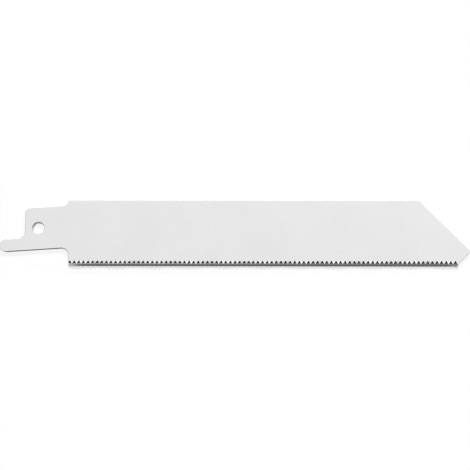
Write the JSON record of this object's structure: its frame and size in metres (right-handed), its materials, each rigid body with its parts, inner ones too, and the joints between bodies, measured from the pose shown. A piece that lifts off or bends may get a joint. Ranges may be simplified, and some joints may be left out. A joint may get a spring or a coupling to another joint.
{
  "type": "reciprocating saw blade",
  "caption": "Straight white-lacquered reciprocating saw blade for metal: fine wavy-set teeth, angled nose, and a stepped half-inch tang with a hole.",
  "frame": {"origin": "on the axis of the tang hole, in the plane of the blade's underside", "axes": "+X along the blade from the tang to the point, +Y across it towards the back, +Z out of the upper face"},
  "size_m": [0.1437, 0.0194, 0.0011],
  "materials": {
    "lacquered_steel": "satin white lacquer"
  },
  "bodies": {
    "root": {"blade": "lacquered_steel"}
  },
  "joints": []
}
